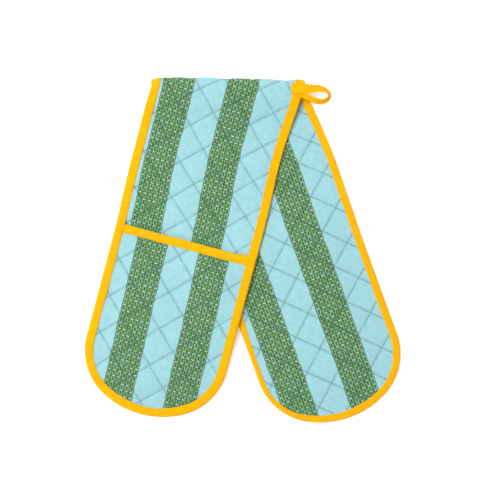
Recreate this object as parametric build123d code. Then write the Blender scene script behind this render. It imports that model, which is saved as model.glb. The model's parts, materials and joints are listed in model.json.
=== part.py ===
from build123d import *
import math
import os

# Double oven glove, folded in half across its middle and lying flat on a table.
# It is one long quilted strip with a round pocket sewn to each end. Folded, the upper leg
# lies on the lower leg, back to back, so the upper pocket faces up and the lower pocket
# faces the table. All sizes are in millimetres.

# Driving dimensions
WIDTH = 180.0  # across a leg, over the edge binding
UPPER_LENGTH = 423.0  # fold line to the tip of the upper leg
LOWER_LENGTH = 439.0  # fold line to the tip of the lower leg
SPLAY = 17.4  # degrees that each leg leans away from a square fold

TIP_DEPTH = 88.0  # tip to the point where its curve is measured from
TIP_STRAIGHT = 10.0  # how far the straight sides run past that point
CORNER_RADIUS = 74.0  # outer corners of the tip
TIP_RADIUS = 108.0  # flatter arc across the end of the tip

TAPE_WIDTH = 11.0  # edge binding, seen from above
TAPE_WALL = 1.0  # edge binding, round the raw edges
TAPE_FLANGE = 0.6  # edge binding, lying on each face
HEM_WIDTH = 10.0  # binding of the pocket's mouth
HEM_WALL = 1.0
UPPER_MOUTH = 199.5  # fold line to the mouth of the upper pocket
POCKET_DEPTH = UPPER_LENGTH - UPPER_MOUTH

FABRIC = 0.5  # one layer of cloth
WADDING = 2.4  # one layer of quilted wadding
CAVITY = 4.6  # room for the hand inside a flat pocket
BACK_GAP = 0.15  # from the fold plane to the back of a leg
EDGE_GAP = 0.4  # between a pocket panel and the binding round it
SPLIT_GAP = 0.3  # between the hanging loop and its sewn ends

LOOP_THICKNESS = 1.6
LOOP_LIFT = 0.1
LOOP_OUTER = (21.0, 11.85)  # half axes of the loop's outline
LOOP_HOLE = (10.5, 4.75)  # half axes of the hole
LOOP_CENTRE = (106.8, -17.9)  # from the middle of the fold line
HOLE_CENTRE = (112.8, -18.9)
LOOP_TILT = -5.0  # degrees
SEWN_LENGTH = 15.0  # tape sewn down on the edge binding
SEWN_WIDTH = 12.5
SEWN_START = 5.2  # from the fold line

# Heights of each layer above the fold plane, for the upper leg
BODY_BACK = BACK_GAP + TAPE_FLANGE
BODY_CORE = BODY_BACK + FABRIC
BODY_FACE = BODY_CORE + WADDING
BODY_TOP = BODY_FACE + FABRIC
STRIP_TOP = BODY_TOP + TAPE_FLANGE
PANEL_BACK = BODY_TOP + CAVITY
PANEL_CORE = PANEL_BACK + FABRIC
PANEL_FACE = PANEL_CORE + WADDING
POCKET_TOP = PANEL_FACE + FABRIC
MARGIN_TOP = POCKET_TOP - TAPE_FLANGE

# Plan sizes that follow
HALF_WIDTH = WIDTH / 2
LEAN = math.radians(SPLAY)
HALF_FOLD = HALF_WIDTH / math.cos(LEAN)
OVERRUN = 60.0  # length past the fold line that the fold cut removes
PANEL_INSET = TAPE_WIDTH + EDGE_GAP

# Middle of the fold line, with the origin below the middle of the folded glove
CORNER_SIDE = (HALF_WIDTH - CORNER_RADIUS) * math.cos(LEAN) + CORNER_RADIUS
CORNER_DROP = TIP_STRAIGHT - TIP_DEPTH
LEFT_REACH = CORNER_SIDE + (UPPER_LENGTH + CORNER_DROP) * math.sin(LEAN)
RIGHT_REACH = CORNER_SIDE + (LOWER_LENGTH + CORNER_DROP) * math.sin(LEAN)
DOWN_REACH = (LOWER_LENGTH - TIP_RADIUS) * math.cos(LEAN) + TIP_RADIUS
HINGE = (
    (LEFT_REACH - RIGHT_REACH) / 2,
    (DOWN_REACH - STRIP_TOP) / 2,
    POCKET_TOP,
)


def leg_face(length, inset, start):
    """Plan view of a leg, drawn inside its outline by inset, from start to the tip."""
    half = HALF_WIDTH - inset
    corner = CORNER_RADIUS - inset
    tip = TIP_RADIUS - inset
    side_y = -(length + CORNER_DROP)
    tip_y = TIP_RADIUS - length
    corner_x = HALF_WIDTH - CORNER_RADIUS
    join = math.degrees(math.atan2(tip_y - side_y, corner_x))
    return make_face(
        [
            Line((-half, -start), (half, -start)),
            Line((half, -start), (half, side_y)),
            CenterArc((corner_x, side_y), corner, 0, -join),
            CenterArc((0, tip_y), tip, -join, 2 * join - 180),
            CenterArc((-corner_x, side_y), corner, join - 180, -join),
            Line((-half, side_y), (-half, -start)),
        ]
    )


def tip_slab(length, inset, start, bottom, top):
    """Flat layer with the leg's outline, from start to the tip."""
    return Pos(0, 0, bottom) * extrude(leg_face(length, inset, start), amount=top - bottom)


def strip_slab(inset, start, end, bottom, top):
    """Flat layer with parallel sides, from start to end along a leg."""
    width = WIDTH - 2 * inset
    middle = Pos(0, -(start + end) / 2, (bottom + top) / 2)
    return middle * Box(width, end - start, top - bottom)


def body_layer(length, bottom, top):
    """One layer of the quilted strip, reaching into the binding's fold."""
    return tip_slab(length, TAPE_WALL, -OVERRUN, bottom, top)


def edge_binding(length, mouth):
    """Tape folded round the leg's raw edges, thicker where it also takes in the pocket."""
    strip = strip_slab(0, -OVERRUN, mouth, BACK_GAP, STRIP_TOP)
    strip -= strip_slab(TAPE_WALL, -OVERRUN, mouth, BODY_BACK, BODY_TOP)
    strip -= strip_slab(TAPE_WIDTH, -OVERRUN, mouth, BACK_GAP, STRIP_TOP)
    pocket = tip_slab(length, 0, mouth, BACK_GAP, POCKET_TOP)
    pocket -= tip_slab(length, TAPE_WALL, mouth, BODY_BACK, MARGIN_TOP)
    pocket -= tip_slab(length, TAPE_WIDTH, mouth, BACK_GAP, POCKET_TOP)
    return strip + pocket


def pocket_margin(length, mouth):
    """Edges of the pocket's three layers, gathered and sewn down inside the binding."""
    margin = tip_slab(length, TAPE_WALL, mouth, BODY_TOP, MARGIN_TOP)
    return margin - tip_slab(length, TAPE_WIDTH, mouth, BODY_TOP, MARGIN_TOP)


def pocket_layer(length, start, bottom, top):
    """One layer of the pocket's free panel."""
    return tip_slab(length, PANEL_INSET, start, bottom, top)


def pocket_hem(mouth):
    """Tape folded over the pocket's mouth edge, with the wadding inside its fold."""
    end = mouth + HEM_WIDTH
    hem = strip_slab(PANEL_INSET, mouth, end, PANEL_BACK, POCKET_TOP)
    return hem - strip_slab(PANEL_INSET, mouth + HEM_WALL, end, PANEL_CORE, PANEL_FACE)


def leg_parts(prefix, length):
    """Every piece of one leg, in a frame with the fold line along X and the leg along -Y."""
    mouth = length - POCKET_DEPTH
    hem_end = mouth + HEM_WIDTH
    core_start = mouth + HEM_WALL
    return {
        prefix + "_back_fabric": body_layer(length, BODY_BACK, BODY_CORE),
        prefix + "_wadding": body_layer(length, BODY_CORE, BODY_FACE),
        prefix + "_front_fabric": body_layer(length, BODY_FACE, BODY_TOP),
        prefix + "_edge_binding": edge_binding(length, mouth),
        prefix + "_pocket_margin": pocket_margin(length, mouth),
        prefix + "_pocket_lining": pocket_layer(length, hem_end, PANEL_BACK, PANEL_CORE),
        prefix + "_pocket_wadding": pocket_layer(length, core_start, PANEL_CORE, PANEL_FACE),
        prefix + "_pocket_outer_fabric": pocket_layer(length, hem_end, PANEL_FACE, POCKET_TOP),
        prefix + "_pocket_hem": pocket_hem(mouth),
    }


def lean_and_cut(shape):
    """Lean a leg to the left about the middle of the fold line and cut it off on that line."""
    past_fold = Pos(0, 2 * OVERRUN, 0) * Box(4 * WIDTH, 4 * OVERRUN, WIDTH)
    return Rot(0, 0, -SPLAY) * shape - past_fold


def half_ring(low, high, left, right):
    """Half tube round the fold line, from one radius to another, bulging towards +Y."""
    section = Circle(high) - Circle(low)
    section -= Pos(-high, 0) * Rectangle(2 * high, 2 * high)
    along_x = Plane(origin=(left, 0, 0), x_dir=(0, 1, 0), z_dir=(1, 0, 0))
    return extrude(along_x * section, amount=right - left)


def fold_parts():
    """The stretch of the strip that bends round the fold, as short half tubes."""
    inside = (HALF_WIDTH - TAPE_WALL) / math.cos(LEAN)
    tape_edge = (HALF_WIDTH - TAPE_WIDTH) / math.cos(LEAN)
    tape = half_ring(BACK_GAP, STRIP_TOP, tape_edge, HALF_FOLD)
    tape -= half_ring(BODY_BACK, BODY_TOP, tape_edge, inside)
    return {
        "fold_back_fabric": half_ring(BODY_BACK, BODY_CORE, -inside, inside),
        "fold_wadding": half_ring(BODY_CORE, BODY_FACE, -inside, inside),
        "fold_front_fabric": half_ring(BODY_FACE, BODY_TOP, -inside, inside),
        "fold_binding_right": tape,
        "fold_binding_left": Rot(0, 180, 0) * tape,
    }


def beyond_edge(gap):
    """Everything to the right of the upper leg's right edge, less a gap."""
    block = Pos(HALF_WIDTH + gap + WIDTH, 0, 0) * Box(2 * WIDTH, 4 * WIDTH, WIDTH)
    return Rot(0, 0, -SPLAY) * block


def hanging_loop():
    """Flat ring of doubled tape that stands out from the upper leg's right edge."""
    outline = Pos(*LOOP_CENTRE) * Rot(0, 0, LOOP_TILT) * Ellipse(*LOOP_OUTER)
    hole = Pos(*HOLE_CENTRE) * Rot(0, 0, LOOP_TILT) * Ellipse(*LOOP_HOLE)
    ring = extrude(outline - hole, amount=LOOP_THICKNESS)
    return Pos(0, 0, STRIP_TOP + LOOP_LIFT) * ring & beyond_edge(SPLIT_GAP)


def loop_sewn_ends():
    """Both ends of the loop's tape, stacked and sewn down on the edge binding."""
    height = LOOP_THICKNESS + LOOP_LIFT
    across, along = HALF_FOLD - SEWN_LENGTH / 2, -SEWN_START - SEWN_WIDTH / 2
    block = Pos(across, along, STRIP_TOP + height / 2) * Box(SEWN_LENGTH, SEWN_WIDTH, height)
    return block - beyond_edge(0)


def glove_parts():
    """Every node in the part's own frame, by name."""
    parts = {}
    for name, shape in leg_parts("upper", UPPER_LENGTH).items():
        parts[name] = lean_and_cut(shape)
    for name, shape in leg_parts("lower", LOWER_LENGTH).items():
        parts[name] = Rot(0, 180, 0) * lean_and_cut(shape)
    parts.update(fold_parts())
    parts["hanging_loop"] = hanging_loop()
    parts["loop_sewn_ends"] = loop_sewn_ends()
    return {name: Pos(*HINGE) * shape for name, shape in parts.items()}


os.makedirs("parts", exist_ok=True)
for node, solid in glove_parts().items():
    export_step(solid, "parts/" + node + ".step")
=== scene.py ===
import json
import math

import bpy
import numpy as np
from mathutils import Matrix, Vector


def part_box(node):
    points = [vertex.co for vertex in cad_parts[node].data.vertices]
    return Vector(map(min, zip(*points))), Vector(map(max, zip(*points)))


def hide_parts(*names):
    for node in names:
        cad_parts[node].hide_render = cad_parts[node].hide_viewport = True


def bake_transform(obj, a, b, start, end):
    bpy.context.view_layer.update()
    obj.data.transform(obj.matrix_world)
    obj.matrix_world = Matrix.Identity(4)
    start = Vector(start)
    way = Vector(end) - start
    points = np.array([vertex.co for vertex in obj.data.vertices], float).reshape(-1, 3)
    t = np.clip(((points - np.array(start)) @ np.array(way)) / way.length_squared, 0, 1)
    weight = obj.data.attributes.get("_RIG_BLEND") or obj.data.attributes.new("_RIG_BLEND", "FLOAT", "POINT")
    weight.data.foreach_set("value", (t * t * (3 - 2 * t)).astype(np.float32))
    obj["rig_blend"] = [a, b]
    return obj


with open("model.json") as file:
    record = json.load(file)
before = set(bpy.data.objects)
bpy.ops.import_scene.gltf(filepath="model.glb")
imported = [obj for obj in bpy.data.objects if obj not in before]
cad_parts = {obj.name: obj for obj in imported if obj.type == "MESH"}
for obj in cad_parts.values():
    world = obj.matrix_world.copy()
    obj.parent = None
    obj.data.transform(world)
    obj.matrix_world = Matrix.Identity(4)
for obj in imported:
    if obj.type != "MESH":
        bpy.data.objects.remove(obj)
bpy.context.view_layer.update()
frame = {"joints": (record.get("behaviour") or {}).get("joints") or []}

# A double oven glove, folded in half and lying flat. All shapes are worked out in millimetres
# from the middle of the fold line, in strip coordinates: u runs across the quilted strip and w
# along it, negative on the upper leg, from 0 to ARC round the fold, and then down the lower leg.
# A height h is measured out from the strip's back side.

MM = 0.001
RANDOM = np.random.default_rng(7)

# ---------------- sizes read from the frame

JOINTS = {joint["name"]: joint for joint in frame["joints"]}
HINGE = np.array(JOINTS["centre_fold"]["pos_m"]) / MM


def node_box(node):
    """A CAD node's lowest and highest corners, in millimetres from the hinge point."""
    low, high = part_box(node)
    return np.array(low) / MM - HINGE, np.array(high) / MM - HINGE


POCKET_AXIS = JOINTS["upper_pocket_mouth"]["axis"]
LEAN = math.atan2(-POCKET_AXIS[1], POCKET_AXIS[0])
COS, SIN, TAN = math.cos(LEAN), math.sin(LEAN), math.tan(LEAN)
HALF = node_box("fold_binding_right")[1][0] * COS
TAPE = HALF - node_box("fold_binding_right")[0][0] * COS
PANEL_GAP = 0.4


def tip_reach(joint):
    """Length of a leg, from the pocket hinge at the panel's tip."""
    point = np.array(JOINTS[joint]["pos_m"]) / MM - HINGE
    return math.hypot(point[0], point[1]) + TAPE + PANEL_GAP


UPPER = tip_reach("upper_pocket_mouth")
LOWER = tip_reach("lower_pocket_mouth")
PANEL_HALF = HALF - TAPE - PANEL_GAP
UPPER_MOUTH = (PANEL_HALF * SIN - node_box("upper_pocket_hem")[1][1]) / COS
LOWER_MOUTH = UPPER_MOUTH + LOWER - UPPER
TABLE = HINGE[2]  # height of the fold line above the table
PAD_BACK = node_box("upper_back_fabric")[0][2]
PAD_FRONT = node_box("upper_front_fabric")[1][2]
PANEL_BACK = node_box("upper_pocket_lining")[0][2]
PANEL_FRONT = node_box("upper_pocket_outer_fabric")[1][2]

# The outline of a leg's tip
TIP_SPAN = 78.0  # from the end of the straight sides to the tip
CORNER_RADIUS = 74.0
TIP_RADIUS = 108.0
CORNER_X = HALF - CORNER_RADIUS
JOIN = math.atan2(TIP_RADIUS - TIP_SPAN, CORNER_X)

# The fold
FOLD_RADIUS = 6.2  # to the middle of the pad
PAD_MIDDLE = (PAD_BACK + PAD_FRONT) / 2
ARC = math.pi * FOLD_RADIUS
FOLD_LIFT = FOLD_RADIUS - PAD_MIDDLE

# Cloth, wadding and tape
CLOTH = 0.45
SEAM_FRONT = 3.75  # the pad's front where the tape pinches it
SEAM_BACK = 0.95
TAPE_TOP = 4.75
TAPE_BACK = 0.2
TAPE_WALL = 0.62
RIM_FRONT = 6.9  # the pocket's outer face where the tape pinches it
RIM_BACK = 3.95
RIM_TAPE_TOP = 7.85
CROWN = 42.0  # distance over which a pocket swells from its rim
HEM = 10.6
HEM_TILT = math.tan(math.radians(0.25))
QUILT = 33.15  # distance between quilting lines

ROOT2 = math.sqrt(2)


def smooth(t):
    """A smooth step from 0 to 1 as t goes from 0 to 1."""
    t = np.clip(t, 0, 1)
    return t * t * (3 - 2 * t)


def bell(t):
    """1 at t = 0, fading away on both sides."""
    return np.exp(-(t**2))


def pair(first, second):
    """Two arrays as coordinates in the last axis."""
    return np.stack(np.broadcast_arrays(first, second), -1)


def twice(u, w):
    """Strip coordinates of a shell's vertices: its top grid, and then its bottom grid."""
    return np.tile(u.ravel(), 2), np.tile(w.ravel(), 2)


# ---------------- outline of a leg


def rim_distance(u, along, length):
    """How far a point of a leg lies inside the leg's outline."""
    across = np.abs(u)
    past = along - (length - TIP_SPAN)
    corner = CORNER_RADIUS - np.hypot(across - CORNER_X, past)
    tip = TIP_RADIUS - np.hypot(u, along - (length - TIP_RADIUS))
    curved = np.where(np.arctan2(past, across - CORNER_X) < JOIN, corner, tip)
    return np.where(past < 0, HALF - across, curved)


def strip_rim(u, w):
    """Distance inside the strip's outline, in strip coordinates."""
    upper = rim_distance(u, -w, UPPER)
    lower = rim_distance(u, w - ARC, LOWER)
    return np.where(w - u * TAN < ARC / 2, upper, lower)


def tip_along(u, inset, length):
    """How far down a leg its outline, drawn in by inset, reaches at u."""
    across = np.abs(u)
    corner = np.sqrt(np.maximum((CORNER_RADIUS - inset) ** 2 - (across - CORNER_X) ** 2, 0))
    tip = np.sqrt(np.maximum((TIP_RADIUS - inset) ** 2 - u**2, 0))
    split = CORNER_X + (CORNER_RADIUS - inset) * math.cos(JOIN)
    corner_end = length - TIP_SPAN + corner
    return np.where(across > split, corner_end, length - TIP_RADIUS + tip)


# ---------------- how the glove lies

LIE_FLAT = PAD_FRONT + 1.35  # the lower leg's back side where the pad lies on the table
RIM_DROP = 3.45  # how far a pocket's rim sinks below its crown
TABLE_BACK = 0.15  # the upper leg's back side where it lies on the table
LEG_GAP = 0.3  # between the two legs where one lies on the other
DRAPE = 62.0  # distance over which the upper leg comes down to the table
LOWER_RISE = 50.0  # distance before the fold in which each leg rises to it
UPPER_RISE = 65.0


def lower_base(x, y):
    """Height above the table of the lower leg's back side."""
    u, along = x * COS + y * SIN, x * SIN - y * COS
    crown = smooth((rim_distance(u, along, LOWER) - TAPE) / CROWN)
    pocket = smooth((along - LOWER_MOUTH + 80) / 70)
    full = TABLE - RIM_DROP * (1 - crown)
    base = LIE_FLAT + (full - LIE_FLAT) * pocket
    return base + (TABLE - FOLD_LIFT - base) * smooth(1 + y / LOWER_RISE)


def upper_base(x, y):
    """Height above the table of the upper leg's back side, which drapes over the lower leg."""
    over = lower_base(x, np.minimum(y, 0)) + LEG_GAP
    outside = -HALF - (x * COS + y * SIN)
    base = over + (TABLE_BACK - over) * smooth((outside + 4) / DRAPE)
    return base + (TABLE + FOLD_LIFT - base) * smooth(1 + y / UPPER_RISE)


CREASE_SKEW = 0.066  # the crease's slope in plan
CREASE_REACH = 110.0  # how far from the fold line the skew fades away
BOW_AT = -95.0  # where both legs bow most, from the fold line
BOW_SPREAD = 52.0
UPPER_BOW = -2.7  # sideways, towards the left
LOWER_BOW = 1.9
LOWER_SHIFT = 1.8
LOWER_SPREAD = 1.0  # how much wider the lower leg lies on each side
CORNER_DIP = 4.2  # how far the fold's left end is pulled towards the legs


def settle(x, y, u, lower):
    """Plan positions after the cloth has settled: each leg bows, and the crease is askew."""
    clear = smooth(-y / 45)
    bow = bell((y - BOW_AT) / BOW_SPREAD)
    lower_drift = LOWER_SHIFT + LOWER_BOW * bow + LOWER_SPREAD * u / HALF
    drift = np.where(lower, lower_drift, UPPER_BOW * bow)
    skew = -CREASE_SKEW * x * (1 - smooth(np.abs(y) / CREASE_REACH))
    dip = -CORNER_DIP * smooth((-x - 76) / 20) * (1 - smooth(np.abs(y) / 32))
    return x + drift * clear, y + skew + dip


def place(u, w, h):
    """Points in the row frame, in metres, from strip coordinates and height."""
    u, w, h = np.broadcast_arrays(u, w, h)
    turn = w - u * TAN
    upper_x, upper_y = u * COS + w * SIN, -u * SIN + w * COS
    upper_z = upper_base(upper_x, upper_y) + h
    along = w - ARC
    lower_x, lower_y = u * COS + along * SIN, u * SIN - along * COS
    lower_z = lower_base(lower_x, lower_y) - h
    angle = np.pi * np.clip(turn / ARC, 0, 1)
    radius = FOLD_RADIUS + h - PAD_MIDDLE
    fold_x = u / COS + SIN * ARC / (2 * np.pi) * np.sin(2 * angle)
    fold_y, fold_z = radius * np.sin(angle), TABLE + radius * np.cos(angle)
    above, below = turn < 0, turn > ARC
    x = np.where(above, upper_x, np.where(below, lower_x, fold_x))
    y = np.where(above, upper_y, np.where(below, lower_y, fold_y))
    z = np.where(above, upper_z, np.where(below, lower_z, fold_z))
    x, y = settle(x, y, u, below)
    return np.stack([x + HINGE[0], y + HINGE[1], z], -1) * MM


def fold_turn(u, w):
    """How far round the fold a point lies, from 0 on the upper leg to 1 on the lower leg."""
    return np.clip((w - u * TAN) / ARC, 0, 1)


# ---------------- surface relief


def ripple(u, w, seed, waves, shortest, longest):
    """A smooth random surface between about -1 and 1."""
    rng = np.random.default_rng(seed)
    total = np.zeros(np.broadcast(u, w).shape)
    for _ in range(waves):
        angle, phase = rng.uniform(0, 2 * np.pi, 2)
        rate = 2 * np.pi / rng.uniform(shortest, longest)
        total = total + np.sin((u * math.cos(angle) + w * math.sin(angle)) * rate + phase)
    return total / math.sqrt(waves)


def strip_phases(u, w):
    """Distances across the two families of quilting lines on the strip."""
    lower = fold_turn(u, w)
    reach = w + np.minimum(w, 0) * 0.04
    down = np.maximum(w - ARC, 0)
    first = (u + reach) / ROOT2 + 0.4 - 1.8 * lower + 0.037 * down
    first = first - 0.055 * np.maximum(u, 0) * smooth(down / 250)
    second = (u - reach) / ROOT2 + 9.4 - 7.3 * lower - 5.5 * smooth((down - 40) / 150)
    return first, second


def pocket_phases(u, w):
    """The same for a pocket panel, with w as on the upper leg."""
    return (u + w) / ROOT2 - 7.2, (u - w) / ROOT2 - 19.7


def nearest_line(phase):
    """Distance to the nearest quilting line."""
    return np.abs((phase + QUILT / 2) % QUILT - QUILT / 2)


def puff(phases):
    """0 on the quilting lines, rising to 1 in the middle of each diamond."""
    first, second = (np.abs(np.sin(np.pi * phase / QUILT)) for phase in phases)
    return (first * second) ** 0.45


def puckers(u, w, phases, seed):
    """Small gathers that stand across the quilting lines and fade away from them."""
    first, second = phases
    wander = 3.0 * ripple(u, w, seed, 5, 25, 60)
    across_first = np.sin((second + wander) * 2 * np.pi / 8.3)
    across_second = np.sin((first - wander) * 2 * np.pi / 9.1)
    near_first = np.exp(-nearest_line(first) / 4.5)
    near_second = np.exp(-nearest_line(second) / 4.5)
    return near_first * across_first + near_second * across_second


def mouth_line(u):
    """Distance from the fold line to the upper pocket's mouth."""
    return UPPER_MOUTH + u * HEM_TILT - 2.6 * smooth((u - 60) / 18)


def mouth_past(u, w):
    """How far a point of the strip lies past the mouth of either pocket."""
    return -w - mouth_line(u), w - ARC - (LOWER - UPPER) - mouth_line(-u)


MOUTH_VALLEY = 1.6  # depth of the strip's valley in front of a pocket's mouth


def freed(rim):
    """0 where the binding pinches the cloth at its rim, and 1 where the cloth is free."""
    return smooth((rim - 8.5) / 8)


def strip_front(u, w):
    """Height of the strip's front cloth."""
    phases = strip_phases(u, w)
    free = freed(strip_rim(u, w))
    relief = -0.95 + 1.55 * puff(phases) + 0.2 * puckers(u, w, phases, 3)
    relief = relief + 0.24 * ripple(u, w, 5, 9, 18, 60)
    nearest = np.min(np.abs(np.stack(mouth_past(u, w)) + 1.2), 0)
    relief = relief - MOUTH_VALLEY * puff(phases) * bell(nearest / 2.6)
    return SEAM_FRONT + (PAD_FRONT - SEAM_FRONT + relief) * free


def strip_back(u, w):
    """Height of the strip's back cloth."""
    phases = strip_phases(u, w)
    free = freed(strip_rim(u, w))
    relief = 0.8 - 1.05 * puff(phases) + 0.14 * puckers(u, w, phases, 4)
    return SEAM_BACK + (PAD_BACK - SEAM_BACK + relief) * free


def panel_crown(u, w):
    """0 on a pocket's rim and 1 on its crown, which is lower at the mouth."""
    mouth = 0.4 + 0.6 * smooth((-w - UPPER_MOUTH) / 70)
    return smooth((rim_distance(u, -w, UPPER) - TAPE) / CROWN) * mouth


def panel_front(u, w):
    """Height of a pocket's outer cloth, with w as on the upper leg."""
    phases = pocket_phases(u, w)
    free = freed(rim_distance(u, -w, UPPER)) * smooth((-w - UPPER_MOUTH - HEM + 3) / 8)
    relief = 1.2 * puff(phases) - 1.0 + 0.2 * puckers(u, w, phases, 8)
    relief = relief + 0.19 * ripple(u, w, 9, 9, 20, 60)
    crown = RIM_FRONT + (PANEL_FRONT - 0.7 - RIM_FRONT) * panel_crown(u, w)
    return crown + relief * free - 0.5 * (1 - free) * panel_crown(u, w)


def panel_back(u, w):
    """Height of a pocket's lining."""
    relief = (0.55 - 0.7 * puff(pocket_phases(u, w))) * freed(rim_distance(u, -w, UPPER))
    return RIM_BACK + (PANEL_BACK - RIM_BACK) * panel_crown(u, w) + relief


# ---------------- meshes


def link_mesh(name, points, loops, sizes, layers, material):
    """A smooth-shaded mesh object, from its faces' corners one after another."""
    mesh = bpy.data.meshes.new(name)
    mesh.vertices.add(len(points))
    mesh.vertices.foreach_set("co", points.astype(np.float32).ravel())
    mesh.loops.add(len(loops))
    mesh.loops.foreach_set("vertex_index", loops.astype(np.int32))
    mesh.polygons.add(len(sizes))
    starts = np.concatenate([[0], np.cumsum(sizes)[:-1]])
    mesh.polygons.foreach_set("loop_start", starts.astype(np.int32))
    mesh.update(calc_edges=True)
    for label, coords in layers.items():
        layer = mesh.uv_layers.new(name=label)
        layer.data.foreach_set("uv", coords[loops].astype(np.float32).ravel())
    mesh.polygons.foreach_set("use_smooth", np.ones(len(sizes), bool))
    mesh.materials.append(material)
    mesh.validate()
    obj = bpy.data.objects.new(name, mesh)
    bpy.context.scene.collection.objects.link(obj)
    return obj


def make_mesh(name, points, faces, uv, material, quilt=None):
    """A mesh of quads, with its closed faces turned outwards."""
    corners = points[faces[:, :3]]
    if (corners[:, 0] * np.cross(corners[:, 1], corners[:, 2])).sum() < 0:
        faces = faces[:, ::-1]
    layers = {"Weave": uv}
    if quilt is not None:
        layers["Quilt"] = quilt
    sizes = np.full(len(faces), 4)
    return link_mesh(name, points, faces.ravel(), sizes, layers, material)


def ride_between(obj, bodies, weights, start, end):
    """Blend obj across a joint, with a weight of its own for each vertex."""
    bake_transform(obj, bodies[0], bodies[1], start=start, end=end)
    attribute = obj.data.attributes["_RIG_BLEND"]
    attribute.data.foreach_set("value", np.asarray(weights, np.float32))


def vertex_array(obj):
    """A mesh's vertices, in metres."""
    flat = np.empty(len(obj.data.vertices) * 3)
    obj.data.vertices.foreach_get("co", flat)
    return flat.reshape(-1, 3)


CREASE_GAP = 1.3  # room left inside the crease when the strip is opened flat


def ride_strip(obj, u, w):
    """Share each vertex of the strip between the legs, so that it opens out flat.

    The cloth beyond the fold line turns by what is left of a half turn, which brings it
    under the fold line. Opening gathers it there, with a little room inside the crease.
    """
    offset = vertex_array(obj) / MM - HINGE
    angle = np.arctan2(offset[:, 1], offset[:, 2])
    radius = np.maximum(np.hypot(offset[:, 1], offset[:, 2]), 2.0)
    beyond = np.clip((angle + CREASE_GAP * np.sin(2 * angle) / radius) / np.pi, 0, 1)
    side = np.where(fold_turn(u, w) < 0.5, 0.0, 1.0)
    share = np.where(offset[:, 1] > 0, beyond, side)
    top, bottom = row_point(0, 0, FOLD_RADIUS), row_point(0, 0, -FOLD_RADIUS)
    ride_between(obj, ("upper_leg", "lower_leg"), share, top, bottom)


def row_point(x, y, z):
    """A point in the row frame, in metres, from millimetres about the hinge."""
    return tuple((HINGE + np.array([x, y, z])) * MM)


def grid_faces(rows, columns, close_rows=False, close_columns=False):
    """Quads of a grid whose vertices are numbered along its rows."""
    numbers = np.arange(rows * columns).reshape(rows, columns)
    if close_rows:
        numbers = np.concatenate([numbers, numbers[:1]])
    if close_columns:
        numbers = np.concatenate([numbers, numbers[:, :1]], 1)
    quads = [numbers[:-1, :-1], numbers[:-1, 1:], numbers[1:, 1:], numbers[1:, :-1]]
    return np.stack(quads, -1).reshape(-1, 4)


def tube_faces(rows, columns):
    """Quads of a tube whose sections are the rows of a grid, with both of its ends closed."""
    ends = []
    for row in (0, rows - 1):
        for k in range(columns // 2 - 1):
            quad = np.array([k, k + 1, columns - 2 - k, columns - 1 - k]) + row * columns
            ends.append(quad if row else quad[::-1])
    return np.concatenate([grid_faces(rows, columns, close_columns=True), np.array(ends)])


def shell_faces(rows, columns):
    """Quads of a closed thin shell: a top grid, a bottom grid and the rim between them."""
    top = grid_faces(rows, columns)
    numbers = np.arange(rows * columns).reshape(rows, columns)
    sides = [numbers[0, :-1], numbers[:-1, -1], numbers[-1, :0:-1], numbers[:0:-1, 0]]
    edge = np.concatenate(sides)
    after, below = np.roll(edge, -1), rows * columns
    rim = np.stack([after, edge, edge + below, after + below], -1)
    return np.concatenate([top, top[:, ::-1] + below, rim])


def shell(name, u, w, top, bottom, uv, material, put=place, phases=None):
    """A closed layer of cloth or wadding between two heights over a grid."""
    points = np.concatenate([put(u, w, top).reshape(-1, 3), put(u, w, bottom).reshape(-1, 3)])
    both = np.concatenate([uv.reshape(-1, 2)] * 2)
    quilt = None
    if phases is not None:
        quilt = np.concatenate([pair(*phases).reshape(-1, 2) / QUILT] * 2)
    return make_mesh(name, points, shell_faces(*u.shape), both, material, quilt)


ROW_BLEND = 120.0  # distance over which a grid's rows turn square to the leg
TIP_BLEND = 165.0  # distance over which they take the curve of the tip
FOLD_TURNS = np.linspace(0, ARC, 15)[1:-1]  # rows round the fold


def spaced(first, last, step):
    """Evenly spaced values from first to last, about step apart."""
    return np.linspace(first, last, int((last - first) / step) + 1)


def tip_pull(u, inset, length, v):
    """How far a grid's row at v is drawn back, so that the last one follows the tip."""
    reach = length - inset
    ends = reach - tip_along(u, inset, length)
    return ends * smooth((v - reach + TIP_BLEND) / TIP_BLEND)


def leg_rows(u, inset, length, fold_along, step):
    """Distances along a leg for each row of a grid, from the fold to the tip."""
    reach = length - inset
    v = spaced(0, reach, step)[:, None]
    return v + fold_along * (1 - smooth(v / ROW_BLEND)) - tip_pull(u, inset, length, v)


def strip_grid(inset, step):
    """A grid over the whole strip, from the upper tip round the fold to the lower tip."""
    u = spaced(inset - HALF, HALF - inset, step)
    upper = -leg_rows(u, inset, UPPER, -u * TAN, step)[::-1]
    lower = ARC + leg_rows(u, inset, LOWER, u * TAN, step)
    w = np.concatenate([upper, u * TAN + FOLD_TURNS[:, None], lower])
    return np.broadcast_to(u, w.shape), w


def panel_grid(inset, start, step):
    """A grid over a pocket panel, from start behind its mouth to its tip."""
    u = spaced(inset - HALF, HALF - inset, step)
    first, reach = UPPER_MOUTH + start, UPPER - inset
    v = spaced(first, reach, step)[:, None]
    tilt = (mouth_line(u) - UPPER_MOUTH) * (1 - smooth((v - first) / ROW_BLEND))
    w = -(v + tilt - tip_pull(u, inset, UPPER, v))
    return np.broadcast_to(u, w.shape), w


def lower_panel_place(u, w, h):
    """place(), for a panel of the lower leg that is given in the upper leg's coordinates."""
    return place(-u, ARC + LOWER - UPPER - w, h)


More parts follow.
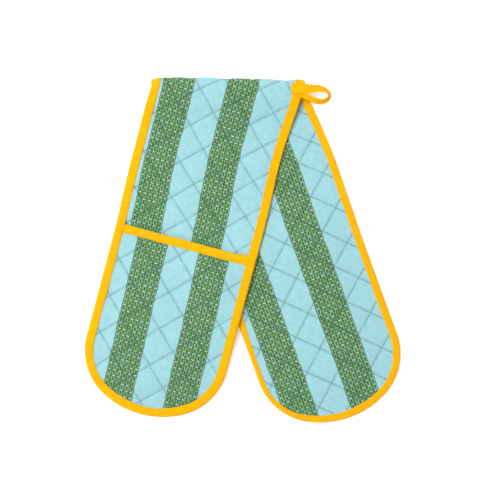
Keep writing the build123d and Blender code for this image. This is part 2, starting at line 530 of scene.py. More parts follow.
def outline_stations(step):
    """Every station round the strip's outline in turn, for station_points()."""

    def side(leg, length, hand):
        """Stations down one side of a leg."""
        first, end = leg * hand * HALF * TAN, length - TIP_SPAN
        spots = spaced(first, end, step)[:-1]
        skews = leg * hand * TAN * (1 - smooth((spots - first) / 40))
        return [("side", leg, hand, spot, skew) for spot, skew in zip(spots, skews)]

    def tip(leg, length):
        """Stations round a leg's tip."""
        angles = []
        for low, high, radius in (
            (0, JOIN, CORNER_RADIUS),
            (JOIN, math.pi - JOIN, TIP_RADIUS),
            (math.pi - JOIN, math.pi, CORNER_RADIUS),
        ):
            count = int((high - low) * radius / step)
            angles.extend(np.linspace(low, high, count, endpoint=False))
        return [("tip", leg, length, angle, 0) for angle in (*angles, math.pi)]

    def fold(hand):
        """Stations round one end of the fold."""
        return [("fold", 0, hand, turn, 0) for turn in FOLD_TURNS]

    return [
        *side(-1, UPPER, 1),
        *tip(-1, UPPER),
        *side(-1, UPPER, -1)[::-1],
        *fold(-1),
        *side(1, LOWER, -1),
        *tip(1, LOWER)[::-1],
        *side(1, LOWER, 1)[::-1],
        *fold(1)[::-1],
    ]


def station_points(station, inset):
    """Strip coordinates of one station at each inset."""
    kind, leg, extra, spot, skew = station
    if kind == "fold":
        u = extra * (HALF - inset)
        return u, u * TAN + spot
    if kind == "side":
        u = extra * (HALF - inset)
        along = spot - inset * skew
    elif spot < JOIN or spot > math.pi - JOIN:
        centre = CORNER_X if spot < JOIN else -CORNER_X
        u = centre + (CORNER_RADIUS - inset) * math.cos(spot)
        along = extra - TIP_SPAN + (CORNER_RADIUS - inset) * math.sin(spot)
    else:
        u = (TIP_RADIUS - inset) * math.cos(spot)
        along = extra - TIP_RADIUS + (TIP_RADIUS - inset) * math.sin(spot)
    return u, -along if leg < 0 else along + ARC


def tape_dome(across):
    """Height of a tape's face from its fold at 0 to its edge at 1, below its full height."""
    return 0.22 * (1 - (2 * across - 1) ** 4) - 0.25


def tape_section(top, bottom, width, wall, nose):
    """A folded tape's closed section: distances in from the fold and heights, as rows."""
    flat = np.linspace(1, 0, 7)
    turn = np.linspace(0.5, -0.5, 9)[1:-1] * np.pi

    def outline(gap):
        rise = (top - bottom) / 2 - gap
        face_d = nose + (width - nose) * flat
        face_h = rise + tape_dome(flat)
        nose_d = nose - (nose - gap) * np.cos(turn)
        nose_h = (rise - 0.03) * np.sin(turn)
        d = np.concatenate([face_d, nose_d, face_d[::-1]])
        return d, np.concatenate([face_h, nose_h, -face_h[::-1]])

    outer_d, outer_h = outline(0.0)
    inner_d, inner_h = outline(wall)
    edge_d = [width + 0.15]
    middle_h = (outer_h + inner_h) / 2
    d = np.concatenate([outer_d, edge_d, inner_d[::-1], edge_d])
    h = np.concatenate([outer_h, middle_h[-1:], inner_h[::-1], middle_h[:1]])
    return d, (top + bottom) / 2 + h


# ---------------- node-built materials


def set_inputs(node, values):
    """Set the plain values of a node's inputs, by name."""
    for name, value in values.items():
        node.inputs[name].default_value = value


class Value:
    """A shader value that plain arithmetic builds up out of Math nodes."""

    def __init__(self, tree, socket):
        self.tree, self.socket = tree, socket

    def math(self, operation, other=None, clamp=False):
        node = self.tree.nodes.new("ShaderNodeMath")
        node.operation, node.use_clamp = operation, clamp
        for socket, value in zip(node.inputs, (self, other)):
            if isinstance(value, Value):
                self.tree.links.new(value.socket, socket)
            elif value is not None:
                socket.default_value = value
        return Value(self.tree, node.outputs[0])

    def __add__(self, other):
        return self.math("ADD", other)

    def __sub__(self, other):
        return self.math("SUBTRACT", other)

    def __mul__(self, other):
        return self.math("MULTIPLY", other)

    def __truediv__(self, other):
        return self.math("DIVIDE", other)

    def __pow__(self, other):
        return self.math("POWER", other)

    def __abs__(self):
        return self.math("ABSOLUTE")

    def fract(self):
        return self.math("FRACT")

    def inverse(self):
        """1 less this value."""
        return (self * -1) + 1

    def step(self, low, high):
        """A smooth step from 0 at low to 1 at high."""
        node = self.tree.nodes.new("ShaderNodeMapRange")
        node.interpolation_type = "SMOOTHSTEP"
        self.tree.links.new(self.socket, node.inputs["Value"])
        set_inputs(node, {"From Min": low, "From Max": high})
        return Value(self.tree, node.outputs["Result"])

    def spread(self, low, high):
        """This value's 0 to 1 stretched to run from low to high."""
        return self * (high - low) + low


def linear(red, green, blue):
    """A linear colour from 8-bit display values."""
    parts = []
    for part in (red, green, blue):
        part /= 255
        parts.append(part / 12.92 if part <= 0.04045 else ((part + 0.055) / 1.055) ** 2.4)
    return (*parts, 1.0)


class Cloth:
    """A material under construction: its nodes, its weave coordinates and its base colour."""

    def __init__(self, name):
        self.material = bpy.data.materials.new(name)
        self.material.use_nodes = True
        self.tree = self.material.node_tree
        self.shader = self.tree.nodes["Principled BSDF"]
        self.uv, self.across, self.along = self.layer("Weave")

    def layer(self, name):
        """A UV layer's socket, and its two coordinates as values."""
        uv = self.tree.nodes.new("ShaderNodeUVMap")
        uv.uv_map = name
        parts = self.tree.nodes.new("ShaderNodeSeparateXYZ")
        self.tree.links.new(uv.outputs["UV"], parts.inputs[0])
        return uv.outputs["UV"], *(Value(self.tree, parts.outputs[axis]) for axis in ("X", "Y"))

    def noise(self, scale, detail=2.0, rough=0.5, stretch=None):
        """Noise over the weave coordinates, with scale in features per millimetre."""
        node = self.tree.nodes.new("ShaderNodeTexNoise")
        set_inputs(node, {"Scale": scale, "Detail": detail, "Roughness": rough})
        source = self.uv
        if stretch:
            mapping = self.tree.nodes.new("ShaderNodeMapping")
            mapping.inputs["Scale"].default_value = (*stretch, 1)
            self.tree.links.new(self.uv, mapping.inputs["Vector"])
            source = mapping.outputs[0]
        self.tree.links.new(source, node.inputs["Vector"])
        return Value(self.tree, node.outputs[0])

    def seam_distance(self):
        """Distance in millimetres to the nearest quilting line."""
        first, second = (abs((phase + 0.5).fract() - 0.5) for phase in self.layer("Quilt")[1:])
        return first.math("MINIMUM", second) * QUILT

    def mix(self, share, first, second, kind="MIX"):
        """Two colours mixed by a value; each may be a colour or a node's socket."""
        node = self.tree.nodes.new("ShaderNodeMix")
        node.data_type, node.blend_type = "RGBA", kind
        if isinstance(share, Value):
            self.tree.links.new(share.socket, node.inputs[0])
        else:
            node.inputs[0].default_value = share
        for socket, colour in ((node.inputs[6], first), (node.inputs[7], second)):
            if isinstance(colour, tuple):
                socket.default_value = colour
            else:
                self.tree.links.new(colour, socket)
        return node.outputs[2]

    def finish(self, colour, height, depth, roughness, sheen, shine=0.12):
        """Connect the colour and the relief, and set the plain values."""
        self.tree.links.new(colour, self.shader.inputs["Base Color"])
        bump = self.tree.nodes.new("ShaderNodeBump")
        set_inputs(bump, {"Strength": 0.9, "Distance": depth * MM})
        self.tree.links.new(height.socket, bump.inputs["Height"])
        self.tree.links.new(bump.outputs[0], self.shader.inputs["Normal"])
        self.tree.links.new(roughness.socket, self.shader.inputs["Roughness"])
        set_inputs(self.shader, {"Sheen Weight": sheen, "Sheen Roughness": 0.5})
        set_inputs(self.shader, {"Specular IOR Level": shine})
        return self.material


AQUA = linear(151, 199, 207)
AQUA_DARK = linear(136, 182, 187)
AQUA_LIGHT = linear(160, 207, 214)
GREEN_BAR = linear(77, 125, 48)
GREEN_BASE = linear(91, 138, 76)
GREEN_DOT = linear(38, 82, 22)
WAFFLE_PALE = linear(156, 198, 180)
WAFFLE_DASH = linear(188, 216, 216)
# SEAM_SHADE is painted shade, multiplied in along the quilting lines.
SEAM_SHADE = linear(128, 160, 160)
SEAM_THREAD = linear(92, 138, 128)

STRIPE_PITCH = 78.6  # between the middles of the two green stripes
STRIPE_HALF = 19.4
CELL_ACROSS = STRIPE_PITCH / 12  # one cell of the waffle weave
CELL_ALONG = 7.4
FLOAT_PITCH = 1.23  # between the crosswise threads of the waffle weave


def wave(distance, pitch, kind="SINE"):
    """A wave from -1 to 1 that repeats every pitch along a distance."""
    return (distance * (2 * math.pi / pitch)).math(kind)


def thread_weave(cloth, pitch):
    """Height of a plain weave whose threads lie pitch apart."""
    return (wave(cloth.across, pitch) * wave(cloth.along, pitch)).spread(0.5, 1.0)


def waffle_weave(cloth, across, along):
    """Colour and height of the green stripes: rows of pale rings round dark hollows."""
    shift = (cloth.noise(0.33, 1.0) - 0.5) * 0.9
    cell_x = (((across + shift + STRIPE_HALF) / CELL_ACROSS).fract() - 0.5) * CELL_ACROSS
    cell_y = (((along - shift) / CELL_ALONG).fract() - 0.5) * CELL_ALONG
    column, row = abs(cell_x), abs(cell_y)  # distances from the middle of a cell
    bar = column.step(CELL_ACROSS / 2 - 1.15, CELL_ACROSS / 2 - 0.6)
    dash_row = row.step(CELL_ALONG / 2 - 0.85, CELL_ALONG / 2 - 0.5)
    dash = dash_row * column.step(1.8, 2.35).inverse()
    rung = abs(row - (CELL_ALONG / 2 - 1.25)).step(0.2, 0.55).inverse()
    ring_size = ((column / 2.0) ** 3 + (row / 2.6) ** 3) ** (1 / 3)
    ring = abs(ring_size - 0.86).step(0.13, 0.33).inverse()
    dot = ((column**2 + (row - 1.05) ** 2) ** 0.5).step(0.65, 1.25).inverse()
    bead = wave(along, CELL_ALONG, "COSINE").spread(0.5, 0.78)

    fuzz = cloth.noise(0.9, 3.0, 0.6)
    patchy = cloth.noise(0.12, 2.0)
    uneven = cloth.noise(0.22, 2.0, 0.7)
    pale = uneven.step(0.28, 0.66)
    thread = wave(along, FLOAT_PITCH)
    # Darker green along the quilting lines on the stripes: partly the weave gathered at the seam, partly
    # painted shade of the seam valleys.
    seam_gather_and_shade = cloth.seam_distance().step(0.3, 2.6).inverse() * uneven.step(0.35, 0.6)
    green = GREEN_BASE
    for share, tint in (
        (ring * pale.spread(0.4, 1.0), WAFFLE_PALE),
        (bar * bead, GREEN_BAR),
        (rung * 0.6, GREEN_DOT),
        (thread.spread(0.0, 0.16) + fuzz.step(0.35, 0.5).inverse() * 0.25, GREEN_DOT),
        (dot * pale.inverse().spread(0.75, 1.0), GREEN_DOT),
        (dash * fuzz.step(0.3, 0.62).spread(0.3, 1.0), WAFFLE_DASH),
        (patchy.step(0.4, 0.62).inverse() * 0.3, GREEN_BAR),
        (seam_gather_and_shade * 0.5, GREEN_DOT),
    ):
        green = cloth.mix(share, green, tint)

    floats = wave(cloth.along, FLOAT_PITCH) * bar * 0.35
    raised = ring * 1.3 + dash * 1.9 + bar * 0.8
    return green, raised - dot * 1.1 - rung * 0.7 + floats + fuzz * 0.8


def plain_weave(cloth, mottle):
    """Colour and height of the aqua cloth between the stripes."""
    grain = cloth.noise(1.1, 2.0, 0.6, stretch=(1.0, 0.6))
    aqua = cloth.mix(mottle.math("MULTIPLY", 1.0, clamp=True), AQUA_DARK, AQUA)
    aqua = cloth.mix(grain.step(0.42, 0.75), aqua, AQUA_LIGHT)
    return aqua, thread_weave(cloth, 1.05) * 0.35 + grain * 0.3


def striped_cotton():
    """Aqua plain weave with two green waffle-weave stripes along it, quilted, with painted shade along the
    quilting lines.
    """
    cloth = Cloth("striped_waffle_cotton")
    wander = (cloth.noise(0.045, 2.0) - 0.5) * 2.2
    wander = wander + (cloth.noise(0.13, 1.0) - 0.5) * 1.3
    fray = (cloth.noise(0.5, 2.0) - 0.5) * 1.1
    across = cloth.across + wander
    along = cloth.along + (cloth.noise(0.05, 2.0) - 0.5) * 2.4
    side = abs(abs(across + fray * 0.5 - STRIPE_PITCH / 2) - STRIPE_PITCH / 2)
    stripe = side.step(STRIPE_HALF - 0.35, STRIPE_HALF + 0.35).inverse()

    mottle = (cloth.noise(0.16, 4.0, 0.65) - 0.5) * 2.2 + 0.5
    green, waffle_height = waffle_weave(cloth, across, along)
    aqua, plain_height = plain_weave(cloth, mottle)
    colour = cloth.mix(stripe, aqua, green)
    seam = cloth.seam_distance()
    # Painted shade: a soft darkening within about 3 mm of each quilting line stands in for the shade in the
    # quilted valleys, weaker on the stripes.
    faint = (stripe * -0.7 + 1) * cloth.noise(0.09, 2.0).step(0.3, 0.6).spread(0.45, 1.0)
    shade = seam.step(0.0, 3.2).inverse() * faint * 0.3
    colour = cloth.mix(shade, colour, SEAM_SHADE, "MULTIPLY")
    colour = cloth.mix(seam.step(0.15, 0.65).inverse() * faint * 0.42, colour, SEAM_THREAD)
    height = plain_height + stripe * (waffle_height - plain_height)
    roughness = (mottle * 0.06 + 0.82).math("MINIMUM", 0.95)
    return cloth.finish(colour, height, 0.45, roughness, 0.12)


def yellow_tape():
    """Golden cotton bias tape: a fine weave with a soft shine along its folds."""
    cloth = Cloth("yellow_bias_tape")
    mottle = cloth.noise(0.11, 3.0, 0.6)
    grain = cloth.noise(1.2, 2.0, 0.6, stretch=(0.5, 1.2))
    colour = cloth.mix(mottle.step(0.35, 0.7), linear(234, 167, 0), linear(242, 177, 0))
    colour = cloth.mix(grain.step(0.3, 0.45).inverse() * 0.5, colour, linear(222, 156, 0))
    height = thread_weave(cloth, 0.7) * 0.6 + grain * 0.5 + mottle * 0.8
    roughness = grain.spread(0.58, 0.72)
    return cloth.finish(colour, height, 0.22, roughness, 0.02, shine=0.07)


def fibre(name, dark, light, scale, depth, rough):
    """Wadding, lining or thread: one colour with fibres and a soft relief."""
    cloth = Cloth(name)
    fibres = cloth.noise(scale, 4.0, 0.7, stretch=(1.0, 0.35))
    clumps = cloth.noise(scale * 0.2, 3.0, 0.6)
    colour = cloth.mix(fibres.step(0.3, 0.7), dark, light)
    colour = cloth.mix(clumps.step(0.35, 0.65) * 0.4, colour, dark)
    height = fibres * 0.7 + thread_weave(cloth, 0.8) * 0.3
    return cloth.finish(colour, height, depth, clumps.spread(rough, rough + 0.08), 0.1)


COTTON = striped_cotton()
TAPE_CLOTH = yellow_tape()
WADDING = fibre("cotton_wadding", linear(214, 210, 198), linear(240, 238, 230), 1.4, 0.5, 0.88)
LINING = fibre("lining_cotton", linear(222, 219, 206), linear(240, 238, 230), 0.9, 0.2, 0.82)
QUILT_THREAD = fibre("quilting_thread", linear(70, 116, 104), linear(96, 142, 130), 2.0, 0.1, 0.6)
TAPE_THREAD = fibre("tape_thread", linear(214, 140, 0), linear(232, 160, 0), 2.0, 0.1, 0.55)


# ---------------- the quilted strip


def front_weave(u, w):
    """Weave coordinates of the front cloth, whose stripes drift a little along the upper leg."""
    along = np.clip(-w, 0, 190)
    right = 18.1 + 0.0355 * along  # middle of the right stripe
    apart = 75.8 + 0.012 * along
    return pair((u - right) * STRIPE_PITCH / apart + STRIPE_PITCH, w)


def back_weave(u, w):
    """Weave coordinates of the back cloth, whose stripes are a little wider."""
    return pair((u + 53.8 - STRIPE_PITCH / 2) * 0.985 + STRIPE_PITCH / 2, w)


def pocket_weave(u, w):
    """Weave coordinates of a pocket's outer cloth."""
    return pair(u + 39.35 + 0.0308 * (w + 241), w)


def leg_area(length):
    """Flat area of a strip that is straight at one end and has a leg's tip at the other."""
    corners = CORNER_RADIUS**2 * JOIN
    tip = TIP_RADIUS**2 * (math.pi - 2 * JOIN) / 2
    counted_twice = CORNER_X * (TIP_RADIUS - TIP_SPAN)
    return 2 * HALF * (length - TIP_SPAN) + corners + tip - counted_twice


def make_wadding(name, u, w, bottom, top, put):
    """A layer of wadding between two heights over a grid."""
    wadding = shell(name, u, w, top, bottom, pair(u, w), WADDING, put)
    return wadding


def make_strip():
    """Front cloth, back cloth and wadding, each in one piece from tip to tip."""
    u, w = strip_grid(1.4, 2.05)
    flat = (2 * HALF * MM, (UPPER + LOWER + ARC) * MM)
    area = (leg_area(UPPER + ARC / 2) + leg_area(LOWER + ARC / 2)) * MM * MM
    front, back = strip_front(u, w), strip_back(u, w)
    for side, top, bottom, uv in (
        ("front", front, front - CLOTH, front_weave(u, w)),
        ("back", back + CLOTH, back, back_weave(u, w)),
    ):
        name, fabric = side + "_cloth", side + "_fabric"
        cloth = shell(name, u, w, top, bottom, uv, COTTON, phases=strip_phases(u, w))
        ride_strip(cloth, *twice(u, w))
        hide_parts("upper_" + fabric, "lower_" + fabric, "fold_" + fabric)
    u, w = strip_grid(2.6, 3.1)
    bottom = strip_back(u, w) + CLOTH + 0.2
    top = np.maximum(strip_front(u, w) - CLOTH - 0.3, bottom + 0.1)
    wadding = make_wadding("strip_wadding", u, w, bottom, top, place)
    ride_strip(wadding, *twice(u, w))
    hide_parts("upper_wadding", "lower_wadding", "fold_wadding")


# ---------------- the binding


def pocket_zone(u, w):
    """0 where the tape binds the strip alone, and 1 where it also takes in a pocket."""
    upper, lower = mouth_past(u, w)
    return smooth((np.maximum(upper, lower) + 6.5) / 8)


def hem_bump(u, w):
    """1 where the binding passes over the end of a hem."""
    upper, lower = (past - HEM / 2 for past in mouth_past(u, w))
    return np.exp(-((np.minimum(np.abs(upper), np.abs(lower)) / 5.5) ** 4))


def narrowing(station):
    """How much less of the tape shows round the inner corner of the lower leg's tip."""
    kind, leg, hand, spot, _ = station
    if kind == "tip" and leg > 0:
        return 1.7 + 2.6 * smooth((spot - 1.7) / 0.9)
    if kind == "side" and leg > 0:
        inner = 2.6 * smooth((spot - LOWER + 190) / 90) if hand < 0 else 0.0
        return inner + 1.7 * smooth((spot - 40) / 60)
    return 0.0


def binding_section(station):
    """One section of the binding tape: its points, its seam on both faces, and its edge."""
    edge = station_points(station, 0.0)
    zone, wobble = pocket_zone(*edge), ripple(*edge, 21, 7, 25, 90)
    top = TAPE_TOP + (RIM_TAPE_TOP - TAPE_TOP) * zone + 0.55 * hem_bump(*edge) + 0.1 * wobble
    width = TAPE + 0.28 * wobble - narrowing(station)
    nose = 2.3 + 0.9 * zone
    d, h = tape_section(top, TAPE_BACK, width, TAPE_WALL, nose)
    seam_d = width - 1.9
    face = top + tape_dome((seam_d - nose) / (width - nose))
    seam = (*station_points(station, seam_d), face, TAPE_BACK + top - face)
    return (*station_points(station, d), h), seam, edge


def make_binding():
    """One length of tape folded round the whole outline."""
    sections, seams, edges = zip(*map(binding_section, outline_stations(2.0)))
    u, w, h = (np.array([section[k] for section in sections]) for k in range(3))
    uv = pair(path_lengths(np.array(edges))[:, None], np.linspace(0, 44, u.shape[1]))
    faces = grid_faces(*u.shape, close_rows=True, close_columns=True)
    points = place(u, w, h).reshape(-1, 3)
    tape = make_mesh("edge_binding_tape", points, faces, uv.reshape(-1, 2), TAPE_CLOTH)
    ride_strip(tape, u.ravel(), w.ravel())
    folds = ["fold_binding_left", "fold_binding_right"]
    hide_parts("upper_edge_binding", "lower_edge_binding", *folds)
    make_tape_stitches(np.array(seams))


def make_tape_stitches(seams):
    """The line of stitches that holds the binding down, on both of its faces."""
    closed = np.concatenate([seams, seams[:1]])
    for name, column, out in (("front_binding_stitches", 2, 1), ("back_binding_stitches", 3, -1)):
        travel = path_lengths(place(closed[:, 0], closed[:, 1], closed[:, column]) / MM)
        spots = np.arange(1.5, travel[-1], STITCH_PITCH)
        u, w, h = (np.interp(spots, travel, closed[:, k]) for k in (0, 1, column))
        ahead_u, ahead_w = (np.interp(spots + 0.6, travel, closed[:, k]) for k in (0, 1))
        step = np.maximum(np.hypot(ahead_u - u, ahead_w - w), 1e-6)
        spots = (u, w, (ahead_u - u) / step, (ahead_w - w) / step)
        stitches, us, ws = sew(name, place, spots, lambda a, b, h=h: h, out, TAPE_STITCH)
        ride_strip(stitches, us, ws)


# ---------------- the hanging loop

# Stations along the loop's tape, about the hinge: x, y, height above the table, width, and
# tilt in degrees, from the end sewn over the binding round to the end underneath it.
LOOP_TAPE = [
    (77.6, -8.6, 22.6, 12.4, 0),
    (84.0, -9.2, 22.9, 12.8, 0),
    (91.0, -10.0, 22.9, 12.6, 2),
    (98.0, -10.6, 22.2, 11.8, 6),
    (105.0, -10.4, 20.9, 10.4, 12),
    (112.5, -10.3, 19.3, 9.2, 24),
    (119.5, -12.2, 17.6, 8.2, 42),
    (124.2, -16.2, 16.6, 8.0, 58),
    (124.6, -21.2, 16.4, 8.0, 60),
    (120.4, -25.2, 16.8, 8.0, 52),
    (113.0, -26.6, 17.9, 8.0, 44),
    (105.5, -24.6, 19.2, 7.8, 36),
    (98.5, -21.2, 20.3, 7.6, 26),
    (91.5, -17.6, 21.0, 7.4, 12),
    (84.5, -14.2, 21.3, 7.4, 0),
    (79.0, -11.6, 21.4, 7.4, 0),
]
LOOP_TAPE_THICKNESS = 1.5


def spline(rows, count):
    """Points of a smooth curve through the rows."""
    rows = np.array(rows, float)
    padded = np.concatenate([[2 * rows[0] - rows[1]], rows, [2 * rows[-1] - rows[-2]]])
    spot = np.linspace(0, len(rows) - 1, count)
    index = np.minimum(spot.astype(int), len(rows) - 2)
    t = (spot - index)[:, None]
    a, b, c, d = (padded[index + k] for k in range(4))
    bend = (2 * a - 5 * b + 4 * c - d) * t**2 + (3 * b - a - 3 * c + d) * t**3
    return 0.5 * (2 * b + (c - a) * t + bend)


def make_loop():
    """A folded tape that leaves the binding, bends round and comes back under itself."""
    count, sides = 150, 28
    path = spline(LOOP_TAPE, count)
    centre = path[:, :3] + np.array([HINGE[0], HINGE[1], 0])
    ahead = unit(np.gradient(centre, axis=0))
    level = unit(np.cross(np.array([0.0, 0.0, 1.0]), ahead))
    tilt = np.radians(path[:, 4])[:, None]
    across = level * np.cos(tilt) - np.cross(ahead, level) * np.sin(tilt)
    over = np.cross(ahead, across)
    angle = np.linspace(0, 2 * np.pi, sides, endpoint=False)
    flat_x = np.sign(np.cos(angle)) * np.abs(np.cos(angle)) ** 0.75
    flat_y = np.sign(np.sin(angle)) * np.abs(np.sin(angle)) ** 0.35
    groove = 1 - 0.42 * bell((flat_x - 0.2) / 0.13)
    ends = 0.55 + 0.45 * smooth(np.minimum(np.arange(count), np.arange(count)[::-1]) / 3)
    half = path[:, 3:4] / 2 * (0.96 + 0.04 * ends[:, None])
    side = half * flat_x
    rise = LOOP_TAPE_THICKNESS / 2 * ends[:, None] * flat_y * groove
    points = centre[:, None] + across[:, None] * side[..., None] + over[:, None] * rise[..., None]
    uv = pair(path_lengths(centre)[:, None], side).reshape(-1, 2)
    points = points.reshape(-1, 3)
    faces = tube_faces(count, sides)
    loop = make_mesh("hanging_loop_tape", points * MM, faces, uv, TAPE_CLOTH)
    offset = points - HINGE
    past_edge = (offset[:, 0] - HALF / COS) * COS - offset[:, 1] * SIN
    share = smooth((past_edge + 1) / 7)
    ride_between(loop, ("upper_leg", "loop"), share, row_point(88, -17, 0), row_point(95, -17, 0))
    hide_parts("hanging_loop", "loop_sewn_ends")


# ---------------- stitches

STITCH_PITCH = 3.0  # on the tapes
QUILT_PITCH = 3.1
STITCH_SIDES = 5
STITCH_RINGS = (  # place along the stitch, thickness, and height, from end to end
    (-0.5, 0.12, -1.3),
    (-0.42, 0.7, -0.5),
    (-0.2, 1.0, 0.0),
    (0.2, 1.0, 0.0),
    (0.42, 0.7, -0.5),
    (0.5, 0.12, -1.3),
)
# Length, radius, thread and material slot of each kind of stitch
QUILT_STITCH = (2.6 * MM, 0.3 * MM, QUILT_THREAD, "striped_waffle_cotton")
TAPE_STITCH = (2.3 * MM, 0.25 * MM, TAPE_THREAD, "yellow_tape")


def unit(vectors):
    """Vectors of the same directions, one long."""
    return vectors / np.maximum(np.linalg.norm(vectors, axis=-1, keepdims=True), 1e-12)


def path_lengths(points):
    """Distance along a line of points to each of them."""
    steps = np.linalg.norm(np.diff(points, axis=0), axis=1)
    return np.concatenate([[0], np.cumsum(steps)])


def stitch_mesh(name, centre, direction, normal, length, radius, material):
    """Many short stitches as one mesh: each is a thin spindle that dips at both ends."""
    angle = np.linspace(0, 2 * np.pi, STITCH_SIDES, endpoint=False)
    around = np.cos(angle)[None, :, None] * np.cross(direction, normal)[:, None]
    around = around + np.sin(angle)[None, :, None] * normal[:, None]
    rings = []
    for at, size, rise in STITCH_RINGS:
        core = centre + direction * (at * length) + normal * (rise * radius)
        rings.append(core[:, None] + around * (size * radius))
    points = np.stack(rings, 1).reshape(-1, 3)
    count, per = len(centre), len(rings) * STITCH_SIDES
    walls = grid_faces(len(rings), STITCH_SIDES, close_columns=True)
    cap = np.arange(STITCH_SIDES)
    corners = np.concatenate([walls.ravel(), cap[::-1], cap + per - STITCH_SIDES])
    loops = (corners + (np.arange(count) * per)[:, None]).ravel()
    sizes = np.tile([4] * len(walls) + [STITCH_SIDES] * 2, count)
    uv = pair(np.tile(np.arange(per), count), np.repeat(np.arange(count), per)) * 0.7
    return link_mesh(name, points, loops, sizes, {"Weave": uv}, material)


def stitch_frame(put, u, w, du, dw, height, out):
    """Centre, direction and outward normal of stitches at (u, w) that run along (du, dw)."""

    def spot(ahead, above):
        a, b = u + du * ahead, w + dw * ahead
        return put(a, b, height(a, b) + above)

    centre = spot(0, out * 0.1)
    direction = unit(spot(0.4, 0) - spot(-0.4, 0))
    outward = spot(0, out) - spot(0, 0)
    normal = unit(outward - (outward * direction).sum(-1, keepdims=True) * direction)
    return centre, direction, normal


def sew(name, put, spots, height, out, kind):
    """Stitches at spots (u, w, du and dw) on a surface, and u and w for each of their vertices."""
    length, radius, thread, slot = kind
    centre, direction, normal = stitch_frame(put, *spots, height, out)
    stitches = stitch_mesh(name, centre, direction, normal, length, radius, thread)
    per = len(STITCH_RINGS) * STITCH_SIDES
    return stitches, np.repeat(spots[0], per), np.repeat(spots[1], per)


def line_stitches(phases_of, low_w, high_w):
    """Strip coordinates and directions of stitches on both families of quilting lines."""
    found = []
    w_list = np.arange(low_w, high_w, QUILT_PITCH / ROOT2)
    for family, slope in ((0, -1.0), (1, 1.0)):
        for index in range(-30, 30):
            w = w_list + RANDOM.uniform(-0.15, 0.15, len(w_list))
            u = np.zeros(len(w))
            for _ in range(4):
                miss = phases_of(u, w)[family] - index * QUILT
                u = u - miss * ROOT2
            keep = np.abs(u) < 2 * HALF
            found.append((u[keep], w[keep], np.full(keep.sum(), slope)))
    u, w, slope = (np.concatenate([f[k] for f in found]) for k in range(3))
    return u, w, slope / ROOT2, np.full(len(u), 1 / ROOT2)


def make_strip_threads():
    """Quilting thread on both faces of the strip."""
    spots = line_stitches(strip_phases, -UPPER, LOWER + ARC)
    inside = strip_rim(spots[0], spots[1]) > TAPE - 0.5
    spots = [values[inside] for values in spots]
    for side, height, out in (("front", strip_front, 1), ("back", strip_back, -1)):
        name = side + "_quilting_thread"
        thread, us, ws = sew(name, place, spots, height, out, QUILT_STITCH)
        ride_strip(thread, us, ws)


# ---------------- pockets


def panel_share(u, w):
    """How far a point of a pocket panel lifts with the pocket body."""
    return smooth((rim_distance(u, -w, UPPER) - TAPE - 1.5) / 58)


def ride_panel(obj, leg, u, w):
    """Hold the panel to the leg at its rim and let its middle lift with the pocket."""
    bodies = (leg + "_leg", leg + "_pocket")
    ride_between(obj, bodies, panel_share(u, w), row_point(0, 0, 0), row_point(10, 0, 0))


def make_pocket(leg, put):
    """The outer cloth, lining and wadding of one pocket, its hem and its quilting thread."""
    u, w = panel_grid(1.6, 1.2, 2.05)
    flat = (2 * HALF * MM, (UPPER - UPPER_MOUTH) * MM)
    area = leg_area(UPPER - UPPER_MOUTH) * MM * MM
    front, back = panel_front(u, w), panel_back(u, w)
    name, seams = leg + "_pocket_cloth", pocket_phases(u, w)
    cloth = shell(name, u, w, front, front - CLOTH, pocket_weave(u, w), COTTON, put, seams)
    name = leg + "_pocket_lining_cloth"
    lining = shell(name, u, w, back + CLOTH, back, pair(u, w), LINING, put)
    for piece, node, finish in (
        (cloth, leg + "_pocket_outer_fabric", "striped_waffle_cotton"),
        (lining, leg + "_pocket_lining", "lining_cloth"),
    ):
        ride_panel(piece, leg, *twice(u, w))
        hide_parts(node)
    u, w = panel_grid(2.6, 2.0, 3.1)
    bottom = panel_back(u, w) + CLOTH + 0.15
    top = np.maximum(panel_front(u, w) - CLOTH - 0.15, bottom + 0.3)
    wadding = make_wadding(leg + "_pocket_wadding_pad", u, w, bottom, top, put)
    ride_panel(wadding, leg, *twice(u, w))
    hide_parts(leg + "_pocket_wadding", leg + "_pocket_margin")
    make_hem(leg, put)
    make_pocket_threads(leg, put)


HEM_NOSE = 1.9
HEM_WALL = 0.6


def hem_section(u):
    """One section of a hem at u: w and h of its points, and of its seam."""
    mouth = -mouth_line(u)
    width = HEM + 2.4 * smooth((u - 60) / 18) + 0.8 * smooth((-u - 66) / 16)
    wobble = ripple(u, mouth, 31, 5, 20, 60)
    under = smooth((HALF - abs(u) - TAPE + 4) / 5)
    top = panel_front(u, mouth - width) + 0.15 + 0.75 * under
    bottom = panel_back(u, mouth - width) - 0.1 - 0.5 * under
    full = width + 0.25 * wobble
    d, h = tape_section(top, bottom, full, HEM_WALL, HEM_NOSE)
    seam_d = width - 1.7
    face = top + tape_dome((seam_d - HEM_NOSE) / (full - HEM_NOSE))
    shift = mouth + 0.35 * wobble
    return shift - d, h, (shift - seam_d, face)


def make_hem(leg, put):
    """Tape folded over the pocket's mouth."""
    reach = np.linspace(-PANEL_HALF - 3.5, PANEL_HALF + 3.5, 90)
    ws, hs, seams = zip(*map(hem_section, reach))
    w, h = np.array(ws), np.array(hs)
    u = np.broadcast_to(reach[:, None], w.shape)
    uv = pair(u, np.linspace(0, 40, u.shape[1])).reshape(-1, 2)
    points, faces = put(u, w, h).reshape(-1, 3), tube_faces(*u.shape)
    tape = make_mesh(leg + "_hem_tape", points, faces, uv, TAPE_CLOTH)
    ride_panel(tape, leg, u.ravel(), w.ravel())
    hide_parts(leg + "_pocket_hem")
    make_hem_stitches(leg, put, reach, np.array(seams))


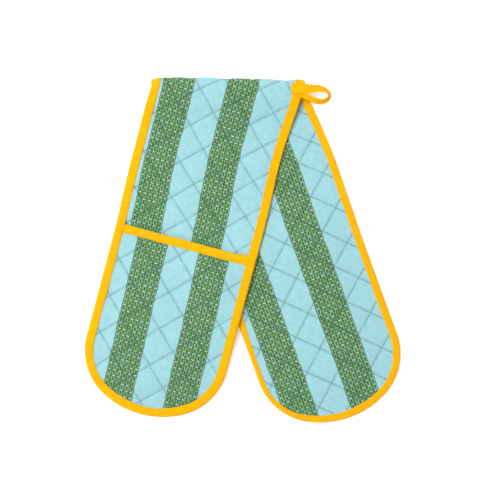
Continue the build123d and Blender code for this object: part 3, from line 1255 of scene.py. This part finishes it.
def make_hem_stitches(leg, put, reach, seams):
    """The line of stitches that holds the hem's tape down."""
    u = np.arange(-PANEL_HALF + 1, PANEL_HALF - 1, STITCH_PITCH)
    w, h = (np.interp(u, reach, seams[:, k]) for k in (0, 1))
    ahead, behind = (np.interp(u + shift, reach, seams[:, 0]) for shift in (0.5, -0.5))
    size = np.hypot(1, ahead - behind)
    spots = (u, w, 1 / size, (ahead - behind) / size)
    stitches, us, ws = sew(leg + "_hem_stitches", put, spots, lambda a, b: h, 1, TAPE_STITCH)
    ride_panel(stitches, leg, us, ws)


def make_pocket_threads(leg, put):
    """Quilting thread on the pocket's outer face."""
    spots = line_stitches(pocket_phases, -UPPER, -UPPER_MOUTH)
    u, w = spots[:2]
    past_hem = -w > UPPER_MOUTH + HEM - 0.5 + u * HEM_TILT
    inside = (rim_distance(u, -w, UPPER) > TAPE - 0.5) & past_hem
    spots = [values[inside] for values in spots]
    name = leg + "_pocket_quilting_thread"
    thread, us, ws = sew(name, put, spots, panel_front, 1, QUILT_STITCH)
    ride_panel(thread, leg, us, ws)


# ---------------- floor, light and camera


def make_stage():
    """A pale floor, a bright soft room and one large soft light."""
    bpy.ops.mesh.primitive_plane_add(size=8)
    floor = bpy.context.object
    floor.name = "floor"
    material = bpy.data.materials.new("pale_floor")
    material.use_nodes = True
    shader = material.node_tree.nodes["Principled BSDF"]
    set_inputs(shader, {"Base Color": (0.93, 0.93, 0.93, 1), "Roughness": 0.9})
    set_inputs(shader, {"Emission Color": (1, 1, 1, 1), "Emission Strength": 0.3})
    floor.data.materials.append(material)

    world = bpy.data.worlds.new("studio")
    bpy.context.scene.world = world
    world.use_nodes = True
    background = world.node_tree.nodes["Background"]
    set_inputs(background, {"Color": (1, 1, 1, 1), "Strength": 0.63})

    lamp = bpy.data.lights.new("softbox", "AREA")
    lamp.shape = "DISK"
    lamp.size = 1.5
    lamp.energy = 72
    holder = bpy.data.objects.new("softbox", lamp)
    holder.location = (-1.05, 0.65, 2.5)
    aim = -holder.location
    holder.rotation_euler = aim.to_track_quat("-Z", "Y").to_euler()
    bpy.context.scene.collection.objects.link(holder)


VIEW_SPAN = 0.594  # metres seen across the picture, at the glove
LENS = 85
SENSOR = 36
ROLL = math.radians(-2.5)
AIM = row_point(6.7, -192.6, 0)


def make_camera():
    """A camera straight above the glove."""
    data = bpy.data.cameras.new("camera")
    data.lens = LENS
    data.sensor_width = SENSOR
    camera = bpy.data.objects.new("camera", data)
    camera.location = (AIM[0], AIM[1], 0.012 + VIEW_SPAN * LENS / SENSOR)
    camera.rotation_euler = (0, 0, ROLL)
    bpy.context.scene.collection.objects.link(camera)
    bpy.context.scene.camera = camera
    bpy.context.scene.view_settings.view_transform = "Standard"


make_camera()
make_stage()
make_strip()
make_binding()
make_loop()
make_pocket("upper", place)
make_pocket("lower", lower_panel_place)
make_strip_threads()
